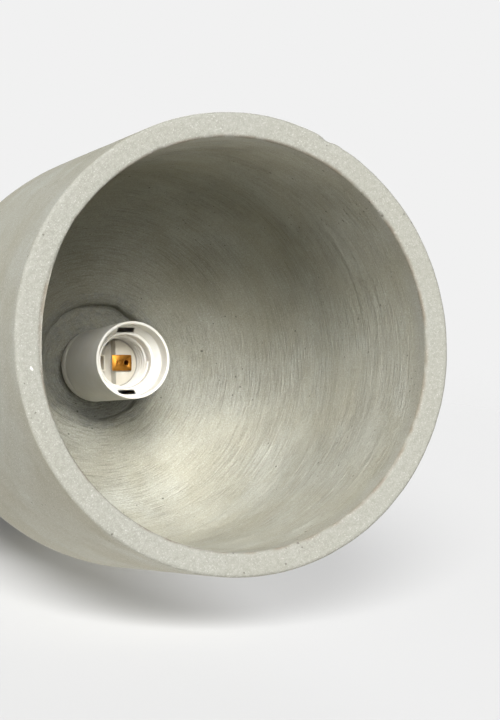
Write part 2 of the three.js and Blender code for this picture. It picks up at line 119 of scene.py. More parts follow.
def linear(colour):
    """An sRGB hex colour as the linear red, green, blue and alpha that a shader takes."""
    parts = [int(colour[i : i + 2], 16) / 255 for i in (1, 3, 5)]
    return tuple(c / 12.92 if c <= 0.04045 else ((c + 0.055) / 1.055) ** 2.4 for c in parts) + (1,)


def add(tree, kind, inputs=None, **settings):
    """Adds a shader node. An input is a value, an output of another node, or a node for its first."""
    made = tree.nodes.new("ShaderNode" + kind)
    for name, value in settings.items():
        setattr(made, name, value)
    for socket, value in (inputs or {}).items():
        if isinstance(value, bpy.types.Node):
            value = value.outputs[0]
        if isinstance(value, bpy.types.NodeSocket):
            tree.links.new(value, made.inputs[socket])
        else:
            made.inputs[socket].default_value = value
    return made


# Matt white paper, struck from above, mixed with a painted glow of its own colour that grows to the right
# and paints its shadow lighter there.
GLOW_START = -45 * MM
GLOW_END = 50 * MM
LEAST_GLOW = 0.08
MOST_GLOW = 0.62
paper = bpy.data.materials.new("matt_paper")
paper.use_nodes = True
tree = paper.node_tree
tree.nodes.clear()
rays = add(tree, "LightPath")
facing = add(tree, "NewGeometry")
place = add(tree, "TexCoord")
reach = add(tree, "VectorMath", {0: place.outputs["Object"], 1: rest_point}, operation="DISTANCE")
fade = add(tree, "MapRange", {
    "Value": reach.outputs["Value"], "From Min": FADE_START, "From Max": FADE_END,
    "To Min": 1, "To Max": 0,
}, interpolation_type="SMOOTHSTEP")
front = add(tree, "Math", {0: 1, 1: facing.outputs["Backfacing"]}, operation="SUBTRACT")
seen_front = add(tree, "Math", {
    0: front.outputs[0], 1: rays.outputs["Is Camera Ray"],
}, operation="MULTIPLY")
shown = add(tree, "Math", {0: seen_front.outputs[0], 1: fade.outputs[0]}, operation="MULTIPLY")
clear = add(tree, "BsdfTransparent")
painted_glow_share = add(tree, "MapRange", {
    "Value": add(tree, "VectorMath", {
        0: place.outputs["Object"], 1: RIGHT_IN_VIEW,
    }, operation="DOT_PRODUCT").outputs["Value"],
    "From Min": GLOW_START, "From Max": GLOW_END, "To Min": LEAST_GLOW, "To Max": MOST_GLOW,
}, interpolation_type="SMOOTHSTEP")
struck = add(tree, "BsdfDiffuse", {"Color": linear("#b6b6b6")})
# Painted light: the paper glows though no lamp lights it, most to the right, so its shadow fades there.
painted_glow = add(tree, "Emission", {"Color": linear(PAPER), "Strength": 1})
sheet = add(tree, "MixShader", {0: painted_glow_share.outputs[0], 1: struck.outputs[0], 2: painted_glow.outputs[0]})
both = add(tree, "MixShader", {0: shown.outputs[0], 1: clear.outputs[0], 2: sheet.outputs[0]})
add(tree, "OutputMaterial", {"Surface": both.outputs[0]})
table.data.materials.append(paper)

# Soft studio: a dim pale room, brighter below where the lit table lies, and three broad soft lights. The
# key stands above and in front, a weaker one in front and to the right, and a faint one to the left.
ROOM = 0.05
TABLE_GLOW = 1.8
GLOW_FULL_AT = -0.75
GLOW_GONE_AT = -0.25
world = bpy.data.worlds.new("studio")
bpy.context.scene.world = world
world.use_nodes = True
tree = world.node_tree
tree.nodes.clear()
rays = add(tree, "LightPath")
place = add(tree, "TexCoord")
height = add(tree, "VectorMath", {0: place.outputs["Generated"], 1: table_up}, operation="DOT_PRODUCT")
glow = add(tree, "MapRange", {
    "Value": height.outputs["Value"], "From Min": GLOW_FULL_AT, "From Max": GLOW_GONE_AT,
    "To Min": TABLE_GLOW, "To Max": ROOM,
}, interpolation_type="SMOOTHSTEP")
lit = add(tree, "Background", {"Color": linear("#fffcf6"), "Strength": glow.outputs[0]})
backdrop = add(tree, "Background", {"Color": linear(PAPER), "Strength": 1})
both = add(tree, "MixShader", {
    0: rays.outputs["Is Camera Ray"], 1: lit.outputs[0], 2: backdrop.outputs[0],
})
add(tree, "OutputWorld", {"Surface": both.outputs[0]})


def softbox(name, up, left, strength, spread, colour="#ffffff"):
    """A broad light far away, standing so many degrees above and to the left of the sight line."""
    data = bpy.data.lights.new(name, "SUN")
    data.energy = strength
    data.angle = math.radians(spread)
    data.color = linear(colour)[:3]
    light = bpy.data.objects.new(name, data)
    bpy.context.scene.collection.objects.link(light)
    up, left = math.radians(up), math.radians(left)
    beam = Vector((math.sin(left) * math.cos(up), math.sin(up), math.cos(left) * math.cos(up)))
    towards = turn @ -beam
    light.rotation_mode = "QUATERNION"
    light.rotation_quaternion = towards.to_track_quat("Z", "Y")
    return light


softbox("key_softbox", 30, -3, 6.9, 28)
softbox("front_softbox", 16, -12, 2.3, 36)
softbox("side_softbox", 8, 74, 0.8, 35)


# ---- Concrete shade ----
# One thick casting of fine sandy concrete, struck out of its mould and left bare. Its outside is smooth,
# its inside carries the rings of the brush that finished it, and the mouth's edge is sanded and chipped.
WALL = 11.4 * MM
RIM_ROUND = 1.6 * MM
ROOF = 18 * MM
CAVITY_STRAIGHT = 118 * MM
CAVITY_FLAT = 44 * MM
POCKET_RADIUS = 31 * MM
POCKET_DEPTH = 10 * MM
POCKET_LIP = 4 * MM
NIPPLE_HOLE = 5.5 * MM
AROUND = 280
inner_radius = mouth_radius - WALL
pocket_floor_z = crown_z - ROOF
cavity_end_z = pocket_floor_z - POCKET_DEPTH


def arc(centre, radii, start, end, steps):
    """Points of an elliptical arc in the (radius, height) plane, with angles in degrees."""
    points = []
    for i in range(steps + 1):
        angle = math.radians(start + (end - start) * i / steps)
        points.append((centre[0] + radii[0] * math.cos(angle), centre[1] + radii[1] * math.sin(angle)))
    return points


def line(start, end, steps):
    """Points between two (radius, height) points, without the first and the last."""
    return [tuple(s + (e - s) * i / steps for s, e in zip(start, end)) for i in range(1, steps)]


def turned(name, profile, around, closed=True):
    """Draws a profile from one point, spins it about the Z axis and merges it into one closed skin."""
    bpy.ops.object.select_all(action="DESELECT")
    bpy.ops.mesh.primitive_plane_add(size=MM)
    made = bpy.context.object
    made.name = made.data.name = name
    bpy.ops.object.mode_set(mode="EDIT")
    bpy.ops.mesh.select_all(action="SELECT")
    bpy.ops.mesh.merge(type="CENTER")
    bpy.ops.transform.translate(value=(profile[0][0], 0, profile[0][1]))
    loop = profile[1:] + profile[:1] if closed else profile[1:]
    last = profile[0]
    for step in loop:
        bpy.ops.mesh.extrude_region_move(
            TRANSFORM_OT_translate={"value": (step[0] - last[0], 0, step[1] - last[1])}
        )
        last = step
    bpy.ops.mesh.select_all(action="SELECT")
    bpy.ops.mesh.spin(steps=around, angle=math.tau, center=(0, 0, 0), axis=(0, 0, 1))
    bpy.ops.mesh.select_all(action="SELECT")
    bpy.ops.mesh.remove_doubles(threshold=0.002 * MM)
    bpy.ops.mesh.normals_make_consistent(inside=False)
    bpy.ops.object.mode_set(mode="OBJECT")
    return made


def smooth(piece, angle=30):
    """Shades a piece smooth, but keeps its edges sharper than the angle."""
    bpy.ops.object.select_all(action="DESELECT")
    piece.select_set(True)
    bpy.context.view_layer.objects.active = piece
    bpy.ops.object.shade_smooth_by_angle(angle=math.radians(angle))
    return piece


crown_edge = (NIPPLE_HOLE, crown_z)
dome_top = (CROWN_FLAT, crown_z)
rim_z = mouth_z + RIM_ROUND
lip = (POCKET_RADIUS + POCKET_LIP, cavity_end_z + POCKET_LIP)
profile = [crown_edge]
profile += line(crown_edge, dome_top, 14)
profile += arc((CROWN_FLAT, mouth_z + STRAIGHT_HEIGHT), (dome_width, dome_height), 90, 0, 42)
profile += line((mouth_radius, mouth_z + STRAIGHT_HEIGHT), (mouth_radius, rim_z), 44)
profile += arc((mouth_radius - RIM_ROUND, rim_z), (RIM_ROUND, RIM_ROUND), 0, -90, 4)
profile += line((mouth_radius - RIM_ROUND, mouth_z), (inner_radius + RIM_ROUND, mouth_z), 8)
profile += arc((inner_radius + RIM_ROUND, rim_z), (RIM_ROUND, RIM_ROUND), -90, -180, 4)
cavity_start = (inner_radius, mouth_z + CAVITY_STRAIGHT)
profile += line((inner_radius, rim_z), cavity_start, 78)
profile += arc(
    (CAVITY_FLAT, mouth_z + CAVITY_STRAIGHT),
    (inner_radius - CAVITY_FLAT, cavity_end_z - mouth_z - CAVITY_STRAIGHT),
    0, 90, 82,
)
profile += line((CAVITY_FLAT, cavity_end_z), (lip[0], cavity_end_z), 7)
profile += arc(lip, (POCKET_LIP, POCKET_LIP), -90, -180, 6)
profile += line((POCKET_RADIUS, lip[1]), (POCKET_RADIUS, pocket_floor_z), 4)
profile += [(POCKET_RADIUS, pocket_floor_z)]
profile += line((POCKET_RADIUS, pocket_floor_z), (NIPPLE_HOLE, pocket_floor_z), 18)
profile += [(NIPPLE_HOLE, pocket_floor_z)]
profile += line((NIPPLE_HOLE, pocket_floor_z), (NIPPLE_HOLE, crown_z), 8)
shade = turned("concrete_shade", profile, AROUND)


def between(value, low, high):
    """0 below low, 1 above high and a smooth rise between."""
    share = min(1, max(0, (value - low) / (high - low)))
    return share * share * (3 - 2 * share)


def outside_radius(z):
    """The casting's outer radius at a height."""
    above = (z - mouth_z - STRAIGHT_HEIGHT) / dome_height
    return mouth_radius if above <= 0 else CROWN_FLAT + dome_width * math.sqrt(max(0, 1 - above * above))


# Knocks on the rim: azimuth in degrees, radius and how deep and how wide the concrete broke off, in mm.
KNOCKS = [
    (-19, 106, 1.5, 4.0), (-14, 106, 0.5, 3.0), (-68, 94.6, 0.9, 2.6), (6, 94.6, 0.8, 2.4),
    (12, 94.8, 0.5, 3.5), (140, 104.5, 0.7, 1.5), (133, 103, 0.6, 1.2), (128, 105, 0.6, 1.8),
    (218, 106, 0.6, 2.0), (204, 106, 0.5, 1.6), (75, 94.8, 0.5, 2.4), (-100, 95, 0.4, 3.0),
]
CHIPS = [(218.7, 99.5, 0.25, 1.0), (217.9, 96.0, 0.25, 0.8), (203.7, 103, 0.25, 0.9), (151, 99, 0.2, 0.7)]
knocks = []
for azimuth, radius, depth, width in KNOCKS + CHIPS:
    azimuth = math.radians(azimuth)
    spot = Vector((radius * math.cos(azimuth), radius * math.sin(azimuth), mouth_z / MM)) * MM
    knocks.append((spot, depth * MM, width * MM))

# The mould stood a little out of true, which left the wall thicker at one side of the mouth, and the
# pocket's core was set a little off the axis.
THICK_AT = 232
THICK_BY = 1.0
POCKET_SHIFT = (RIGHT_IN_VIEW * 1.6 - DOWN_IN_VIEW * 2.8) * MM


def wave(point, size, seed):
    """Smooth unevenness from -1 to 1, with humps of the given size in mm."""
    return noise.noise(point / (size * MM) + Vector((seed, 0.7 * seed, -seed)))


marks = {"cavity": [], "rim": [], "edge": [], "chip": [], "brush": []}
moved = []
for vertex in shade.data.vertices:
    place = vertex.co.copy()
    radius = math.hypot(place.x, place.y)
    above = place.z - mouth_z
    middle = outside_radius(place.z) - WALL / 2
    in_cavity = radius < middle and above > 0.5 * RIM_ROUND and place.z < crown_z - 0.5 * ROOF
    in_pocket = in_cavity and radius < POCKET_RADIUS + 1.6 * POCKET_LIP and place.z > cavity_end_z - MM
    on_rim = 1 - between(above, 0.6 * MM, 1.4 * MM)
    near_inner = 1 - between(abs(radius - inner_radius), 0.1 * MM, 1.5 * MM)
    on_edge = near_inner * (1 - between(above, 1.2 * MM, 3 * MM))
    ring = Vector((place.x, place.y, 0)).normalized() if radius > MM else Vector((1, 0, 0))
    along = above + (inner_radius - radius) if in_cavity else above
    stroke = Vector((ring.x * 1.3, ring.y * 1.3, along / (2.6 * MM)))
    push = 0.22 * wave(place, 70, 3) + 0.10 * wave(place, 22, 5) + 0.03 * wave(place, 6, 6)
    if in_pocket:
        push += 0.9 * wave(place, 9, 8) + 0.5 * wave(place, 3.6, 9) + 1.3 * wave(place, 18, 10)
    elif in_cavity:
        worked = between(above, 4 * MM, 30 * MM)
        push += worked * (
            0.22 * noise.noise(stroke * 0.5 + Vector((4, 1, 0)))
            + 0.2 * noise.noise(stroke * 1.1 + Vector((9, 3, 0))) * (0.6 + 0.8 * wave(place, 30, 14))
        )
    elif on_rim > 0.5:
        push += 0.10 * wave(place, 5, 15) + 0.06 * wave(place, 2.6, 16)
    if in_cavity and not in_pocket:
        off_thick = abs(math.degrees(math.atan2(ring.y, ring.x)) % 360 - THICK_AT)
        push += THICK_BY * (1 - between(off_thick, 4, 26)) * (1 - between(above, 10 * MM, 70 * MM))
    bore = radius < NIPPLE_HOLE + MM
    crown = place.z > crown_z - 0.2 * MM and radius < 20 * MM
    shift = vertex.normal * push * MM * (0 if bore or crown else 1)
    chipped = 0.0
    for spot, depth, width in knocks:
        away = (place - spot).length
        if away < 2 * width:
            broken = math.exp(-((away / width) ** 2) * 1.6) * (0.8 + 0.4 * wave(place, 2.2, 17))
            inward = Vector((-ring.x, -ring.y, 0)) if radius > middle else Vector((ring.x, ring.y, 0))
            shift += (inward * 0.8 + Vector((0, 0, 0.9))) * depth * broken
            chipped = max(chipped, broken if depth < 0.3 * MM else 0.4 * broken)
    if in_cavity and place.z > cavity_end_z - 0.2 * MM:
        near_lip, past_lip = between(radius, 22 * MM, 30 * MM), between(radius, 37 * MM, 43 * MM)
        shift += POCKET_SHIFT * near_lip * (1 - past_lip)
    moved.append(place + shift)
    sheltered = 0.6 * between(above, 2 * MM, 20 * MM) if in_cavity else 0.0
    marks["cavity"].append(1.0 if in_pocket else sheltered)
    marks["rim"].append(on_rim)
    marks["edge"].append(on_edge)
    marks["chip"].append(chipped)
    marks["brush"].extend(stroke)
for vertex, place in zip(shade.data.vertices, moved):
    vertex.co = place
for name, values in marks.items():
    if name == "brush":
        shade.data.attributes.new(name, "FLOAT_VECTOR", "POINT").data.foreach_set("vector", values)
    else:
        shade.data.attributes.new(name, "FLOAT", "POINT").data.foreach_set("value", values)
smooth(shade, 60)

# Cast concrete: grey cement with fine sand, dull all over, mottled where it dried unevenly.
concrete = bpy.data.materials.new("cast_concrete")
concrete.use_nodes = True
tree = concrete.node_tree
surface = tree.nodes["Principled BSDF"]
place = add(tree, "TexCoord").outputs["Object"]
zone = {name: add(tree, "Attribute", attribute_name=name) for name in marks}
cavity, on_rim, worn = (zone[name].outputs["Fac"] for name in ("cavity", "rim", "edge"))
strokes = zone["brush"].outputs["Vector"]
# Broad patches from drying, darker clouds and a pale lime bloom.
drying = add(tree, "MapRange", {
    0: add(tree, "TexNoise", {"Vector": place, "Scale": 1 / (55 * MM), "Detail": 3}), 1: 0.38, 2: 0.62,
})
colour = add(tree, "Mix", {
    0: drying, 6: linear("#a09e91"), 7: linear("#a6a69d"),
}, data_type="RGBA").outputs[2]
cloud = add(tree, "MapRange", {
    0: add(tree, "TexNoise", {"Vector": place, "Scale": 1 / (16 * MM), "Detail": 4, "Roughness": 0.6}),
    1: 0.45, 2: 0.75, 3: 0, 4: 0.5,
})
colour = add(tree, "Mix", {0: cloud, 6: colour, 7: linear("#93917f")}, data_type="RGBA").outputs[2]
bloom = add(tree, "MapRange", {
    0: add(tree, "TexNoise", {"Vector": place, "Scale": 1 / (28 * MM), "Detail": 5, "Roughness": 0.65}),
    1: 0.56, 2: 0.74, 3: 0, 4: 0.5,
})
colour = add(tree, "Mix", {0: bloom, 6: colour, 7: linear("#b6b7b0")}, data_type="RGBA").outputs[2]
# Inside, the grooves between the strokes of the brush are darker and their ridges paler.
streak = add(tree, "TexNoise", {
    "Vector": strokes, "Scale": 4.2, "Detail": 4, "Roughness": 0.6,
}).outputs["Fac"]
patchy = add(tree, "MapRange", {
    0: add(tree, "TexNoise", {"Vector": place, "Scale": 1 / (45 * MM), "Detail": 2}), 1: 0.35, 2: 0.6,
    3: 0.35, 4: 1,
})
inside = add(tree, "MapRange", {0: cavity, 1: 0, 2: 0.5})
brushed = add(tree, "Math", {0: cavity, 1: patchy}, operation="MULTIPLY")
darker_grooves = add(tree, "Math", {
    0: add(tree, "MapRange", {0: streak, 1: 0.5, 2: 0.66}),
    1: add(tree, "Math", {0: brushed, 1: 0.7}, operation="MULTIPLY"),
}, operation="MULTIPLY")
colour = add(tree, "Mix", {0: darker_grooves, 6: colour, 7: linear("#6b685d")}, data_type="RGBA").outputs[2]
paler_ridges = add(tree, "Math", {
    0: add(tree, "MapRange", {0: streak, 1: 0.46, 2: 0.34}),
    1: add(tree, "Math", {0: brushed, 1: 0.35}, operation="MULTIPLY"),
}, operation="MULTIPLY")
colour = add(tree, "Mix", {0: paler_ridges, 6: colour, 7: linear("#c9c8c0")}, data_type="RGBA").outputs[2]
colour = add(tree, "Mix", {
    0: inside, 6: colour, 7: linear("#fffef9"),
}, data_type="RGBA", blend_type="MULTIPLY").outputs[2]
rough = add(tree, "Math", {
    0: add(tree, "MapRange", {0: cavity, 1: 0.8, 2: 1}),
    1: add(tree, "MapRange", {
        0: add(tree, "TexNoise", {"Vector": place, "Scale": 1 / (4 * MM), "Detail": 5, "Roughness": 0.7}),
        1: 0.42, 2: 0.62, 3: 0, 4: 0.5,
    }),
}, operation="MULTIPLY")
colour = add(tree, "Mix", {0: rough, 6: colour, 7: linear("#8c8f8d")}, data_type="RGBA").outputs[2]
colour = add(tree, "Mix", {
    0: add(tree, "Math", {0: 1, 1: inside}, operation="SUBTRACT"), 6: colour, 7: linear("#ececea"),
}, data_type="RGBA", blend_type="MULTIPLY").outputs[2]
# The rim is sanded, and its inner edge is stained tan.
rim_colour = add(tree, "Mix", {
    0: add(tree, "MapRange", {
        0: add(tree, "TexNoise", {
            "Vector": place, "Scale": 1 / (2.2 * MM), "Detail": 4, "Roughness": 0.75,
        }),
        1: 0.38, 2: 0.62,
    }),
    6: linear("#74746c"), 7: linear("#83837c"),
}, data_type="RGBA").outputs[2]
colour = add(tree, "Mix", {
    0: add(tree, "Math", {0: on_rim, 1: 0.85}, operation="MULTIPLY"), 6: colour, 7: rim_colour,
}, data_type="RGBA").outputs[2]
tan_edge = add(tree, "Math", {
    0: worn,
    1: add(tree, "MapRange", {
        0: add(tree, "TexNoise", {"Vector": place, "Scale": 1 / (9 * MM), "Detail": 3}), 1: 0.4, 2: 0.62,
        3: 0.05, 4: 0.55,
    }),
}, operation="MULTIPLY")
colour = add(tree, "Mix", {0: tan_edge, 6: colour, 7: linear("#5e4a30")}, data_type="RGBA").outputs[2]
# Dark and pale sand grains, fresh chips, and pinholes in two sizes left by trapped air; the pinholes are
# painted dark for the shade inside them.
sand = add(tree, "TexNoise", {"Vector": place, "Scale": 1 / (0.75 * MM), "Detail": 3, "Roughness": 0.75})
colour = add(tree, "Mix", {
    0: add(tree, "MapRange", {0: sand, 1: 0.28, 2: 0.55, 3: 0.5, 4: 0}), 6: colour, 7: linear("#6f6d63"),
}, data_type="RGBA").outputs[2]
colour = add(tree, "Mix", {
    0: add(tree, "MapRange", {0: sand, 1: 0.58, 2: 0.76, 3: 0, 4: 0.45}), 6: colour, 7: linear("#d8d8d2"),
}, data_type="RGBA").outputs[2]
colour = add(tree, "Mix", {
    0: add(tree, "MapRange", {0: zone["chip"].outputs["Fac"], 1: 0.25, 2: 0.6}), 6: colour,
    7: linear("#e6e5df"),
}, data_type="RGBA").outputs[2]
crooked = add(tree, "VectorMath", {
    0: add(tree, "TexNoise", {"Vector": place, "Scale": 1 / (1.6 * MM)}).outputs["Color"],
    1: [1.1 * MM] * 3, 2: place,
}, operation="MULTIPLY_ADD").outputs[0]
pinhole = 0
for cell, share, widest, seed in ((7.5, 0.7, 0.1, 0), (2.8, 0.78, 0.24, 3)):
    holes = add(tree, "TexVoronoi", {"Vector": crooked, "Scale": 1 / (cell * MM)})
    pick = add(tree, "SeparateColor", {0: holes.outputs["Color"]}).outputs[0]
    crowd = add(tree, "MapRange", {
        0: add(tree, "TexNoise", {"Vector": place, "Scale": 1 / ((26 + seed) * MM), "Detail": 2}),
        1: 0.45, 2: 0.58, 3: 0.0, 4: 1.0,
    })
    reach = add(tree, "Math", {
        0: add(tree, "MapRange", {0: pick, 1: share, 2: 1.0, 3: 0.0, 4: widest}), 1: crowd,
    }, operation="MULTIPLY")
    pinhole = add(tree, "Math", {
        0: pinhole, 1: add(tree, "Math", {0: holes.outputs["Distance"], 1: reach}, operation="LESS_THAN"),
    }, operation="MAXIMUM")
# Painted shade: the pinholes are coloured dark for the shade that falls in them.
colour = add(tree, "Mix", {
    0: add(tree, "Math", {0: pinhole, 1: 0.75}, operation="MULTIPLY"), 6: colour, 7: linear("#4e4b42"),
}, data_type="RGBA").outputs[2]
tree.links.new(colour, surface.inputs["Base Color"])
dull = add(tree, "MapRange", {
    0: add(tree, "TexNoise", {"Vector": place, "Scale": 1 / (3 * MM), "Detail": 3}), 1: 0.3, 2: 0.7,
    3: 0.8, 4: 0.95,
})
tree.links.new(dull.outputs[0], surface.inputs["Roughness"])
surface.inputs["IOR"].default_value = 1.5
# The relief, in mm: sand, softer lumps, brush strokes and pinholes.
relief = add(tree, "Math", {0: sand, 1: 0.32}, operation="MULTIPLY")
relief = add(tree, "Math", {
    0: relief,
    1: add(tree, "Math", {
        0: add(tree, "TexNoise", {
            "Vector": place, "Scale": 1 / (3.2 * MM), "Detail": 4, "Roughness": 0.6,
        }),
        1: 0.22,
    }, operation="MULTIPLY"),
}, operation="ADD")
ridges = add(tree, "Math", {
    0: streak, 1: add(tree, "Math", {0: brushed, 1: -2.4}, operation="MULTIPLY"),
}, operation="MULTIPLY")
relief = add(tree, "Math", {0: relief, 1: ridges}, operation="ADD")
relief = add(tree, "Math", {
    0: relief, 1: add(tree, "Math", {0: pinhole, 1: 0.5}, operation="MULTIPLY"),
}, operation="SUBTRACT")
bump = add(tree, "Bump", {"Height": relief, "Distance": MM, "Strength": 1.0})
tree.links.new(bump.outputs["Normal"], surface.inputs["Normal"])
shade.data.materials.append(concrete)
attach(shade, "shade")
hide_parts("shade")


# ---- Lampholder skirt ----
# The tube that screws on to the cap: an outer shell, a sloping shelf and the threaded liner for the lamp,
# in one moulding of white polyester. Two windows in the shelf let the mould's cores through.
HOLDER_TURN = math.radians(45)
SKIRT_WALL = 1.5 * MM
SKIRT_TOP_RADIUS = 19.4 * MM
LIP_ROUND = 0.55 * MM
SHELF_DEPTH = 9 * MM
SHELF_DROP = 3 * MM
SHELF_THICKNESS = 2 * MM
LINER_RADIUS = 14.9 * MM
THREAD_ROOT = 13.5 * MM
THREAD_HEIGHT = 0.8 * MM
THREAD_PITCH = 3.63 * MM
LEAD_IN = 1.6 * MM
WINDOW_HALF = 4.6 * MM
LINER_DEPTH = 37.7 * MM
skirt_low, skirt_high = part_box("holder_skirt")
skirt_radius = skirt_high.x
inner_mouth = skirt_radius - SKIRT_WALL
inner_top = SKIRT_TOP_RADIUS - SKIRT_WALL
shelf_z = skirt_low.z + SHELF_DEPTH
liner_z = shelf_z + SHELF_DROP
thread_z = liner_z + LEAD_IN
liner_end_z = skirt_low.z + LINER_DEPTH
lip_z = skirt_low.z + LIP_ROUND


def white_moulding(name, colour, cream, roughness):
    """A white moulded plastic with faint flow marks and a fine orange-peel."""
    made = bpy.data.materials.new(name)
    made.use_nodes = True
    tree = made.node_tree
    surface = tree.nodes["Principled BSDF"]
    place = add(tree, "TexCoord").outputs["Object"]
    flow = add(tree, "MapRange", {
        0: add(tree, "TexNoise", {"Vector": place, "Scale": 1 / (12 * MM), "Detail": 2}), 1: 0.35,
        2: 0.65, 3: 0, 4: 0.6,
    })
    tree.links.new(
        add(tree, "Mix", {0: flow, 6: linear(colour), 7: linear(cream)}, data_type="RGBA").outputs[2],
        surface.inputs["Base Color"],
    )
    gloss = add(tree, "MapRange", {
        0: add(tree, "TexNoise", {"Vector": place, "Scale": 1 / (2 * MM), "Detail": 3}), 1: 0.3, 2: 0.7,
        3: roughness - 0.05, 4: roughness + 0.08,
    })
    tree.links.new(gloss.outputs[0], surface.inputs["Roughness"])
    surface.inputs["IOR"].default_value = 1.55
    surface.inputs["Subsurface Weight"].default_value = 0.2
    surface.inputs["Subsurface Radius"].default_value = (1.0, 0.9, 0.7)
    surface.inputs["Subsurface Scale"].default_value = 1.5 * MM
    bump = add(tree, "Bump", {
        "Height": add(tree, "TexNoise", {"Vector": place, "Scale": 1 / (0.7 * MM), "Detail": 2}),
        "Distance": 0.02 * MM, "Strength": 1.0,
    })
    tree.links.new(bump.outputs["Normal"], surface.inputs["Normal"])
    return made


def boolean(piece, tool, operation):
    """Cuts or joins a piece with a tool, which is then gone."""
    bpy.ops.object.select_all(action="DESELECT")
    bpy.context.view_layer.objects.active = piece
    piece.select_set(True)
    step = piece.modifiers.new("boolean", "BOOLEAN")
    step.operation = operation
    step.solver = "EXACT"
    step.object = tool
    bpy.ops.object.modifier_apply(modifier=step.name)
    bpy.data.objects.remove(tool)
    return piece


def block_tool(low, high, round_by=0.0):
    """A box between two corners, with its upright edges rounded."""
    bpy.ops.object.select_all(action="DESELECT")
    low, high = Vector(low), Vector(high)
    bpy.ops.mesh.primitive_cube_add(size=1, location=(low + high) / 2, scale=high - low)
    made = bpy.context.object
    bpy.ops.object.transform_apply(location=True, rotation=True, scale=True)
    if round_by:
        bpy.context.tool_settings.mesh_select_mode = (False, True, False)
        bpy.ops.object.mode_set(mode="EDIT")
        bpy.ops.mesh.select_all(action="DESELECT")
        bpy.ops.object.mode_set(mode="OBJECT")
        for side in made.data.edges:
            ends = [made.data.vertices[v].co for v in side.vertices]
            side.select = (ends[0].xy - ends[1].xy).length < 0.001 * MM
        bpy.ops.object.mode_set(mode="EDIT")
        bpy.ops.mesh.bevel(offset=round_by, segments=4)
        bpy.ops.object.mode_set(mode="OBJECT")
        bpy.context.tool_settings.mesh_select_mode = (True, False, False)
    return made


def finish(piece, material, body, slot, *nodes):
    """Gives a piece its material and its body, and hides the CAD nodes it stands for. The slot is not
    used.
    """
    piece.data.materials.clear()
    piece.data.materials.append(material)
    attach(piece, body)
    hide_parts(*nodes)
    return piece


# Thermoplastic polyester, white and half gloss.
polyester = white_moulding("moulded_polyester", "#dad8d1", "#d2cec2", 0.36)

profile = [(SKIRT_TOP_RADIUS, skirt_high.z - 0.3 * MM)]
profile += arc((skirt_radius - LIP_ROUND, lip_z), (LIP_ROUND, LIP_ROUND), 0, -90, 5)
profile += arc((inner_mouth + LIP_ROUND, lip_z), (LIP_ROUND, LIP_ROUND), -90, -180, 5)
profile += arc((inner_mouth - 0.8 * MM, shelf_z - 0.8 * MM), (0.8 * MM, 0.8 * MM), 0, 75, 4)
profile += arc((LINER_RADIUS + 0.5 * MM, liner_z - 0.1 * MM), (0.5 * MM, 0.5 * MM), 75, 150, 2)
profile += [(LINER_RADIUS - 0.1 * MM, liner_z - 0.6 * MM), (LINER_RADIUS - 0.5 * MM, liner_z - 0.7 * MM)]
profile += [(THREAD_ROOT + 0.4 * MM, liner_z - 0.4 * MM), (THREAD_ROOT, thread_z)]
profile += [(THREAD_ROOT, liner_end_z)]
profile += [(LINER_RADIUS, liner_end_z), (LINER_RADIUS, liner_z + SHELF_THICKNESS)]
profile += [(inner_top, shelf_z + SHELF_THICKNESS), (inner_top, skirt_high.z)]
profile += [(SKIRT_TOP_RADIUS - 0.3 * MM, skirt_high.z)]
skirt = turned("skirt_moulding", profile, 96)

bpy.ops.object.select_all(action="DESELECT")
bpy.ops.mesh.primitive_plane_add(size=MM)
thread = bpy.context.object
turns = math.floor((liner_end_z - thread_z) / THREAD_PITCH) - 0.25
root = THREAD_ROOT + 0.25 * MM
crest = THREAD_ROOT - THREAD_HEIGHT
outline = [(root, -0.3), (crest, -0.07), (crest, 0.07), (root, 0.3)]
for vertex, (radius, share) in zip((thread.data.vertices[i] for i in (0, 1, 3, 2)), outline):
    vertex.co = (radius, 0, thread_z + (0.5 + share) * THREAD_PITCH)
bpy.ops.object.mode_set(mode="EDIT")
bpy.ops.mesh.delete(type="ONLY_FACE")
bpy.ops.object.mode_set(mode="OBJECT")
step = thread.modifiers.new("screw", "SCREW")
step.axis = "Z"
step.angle = math.tau * turns
step.screw_offset = THREAD_PITCH * turns
step.steps = step.render_steps = int(64 * turns)
bpy.ops.object.modifier_apply(modifier=step.name)
bpy.ops.object.mode_set(mode="EDIT")
bpy.ops.mesh.select_all(action="SELECT")
bpy.ops.mesh.fill_holes(sides=8)
bpy.ops.mesh.normals_make_consistent(inside=False)
bpy.ops.object.mode_set(mode="OBJECT")
boolean(skirt, thread, "UNION")
window_low = shelf_z - 1.5 * MM
window_high = liner_z + SHELF_THICKNESS + MM
window_end = math.sqrt(inner_top**2 - WINDOW_HALF**2)
for side in (-1, 1):
    near, far = sorted((side * (LINER_RADIUS + 0.05 * MM), side * window_end))
    window = block_tool((-WINDOW_HALF, near, window_low), (WINDOW_HALF, far, window_high), 0.3 * MM)
    boolean(skirt, window, "DIFFERENCE")
skirt.data.transform(Matrix.Rotation(HOLDER_TURN, 4, "Z"))
smooth(skirt, 35)
finish(skirt, polyester, "skirt", "white_plastic", "holder_skirt")


# ---- Lampholder cap ----
# The closed end, locked to the hollow nipple by a screw. Its threaded collar carries the skirt, and two
# bosses under its roof take the screws of the contact block.


def bevelled(piece, width, segments=2, angle=35):
    """Rounds a piece's sharp edges and shades it smooth."""
    bpy.ops.object.select_all(action="DESELECT")
    bpy.context.view_layer.objects.active = piece
    piece.select_set(True)
    step = piece.modifiers.new("bevel", "BEVEL")
    step.width = width
    step.segments = segments
    step.limit_method = "ANGLE"
    step.angle_limit = math.radians(angle)
    bpy.ops.object.modifier_apply(modifier=step.name)
    return smooth(piece, 40)


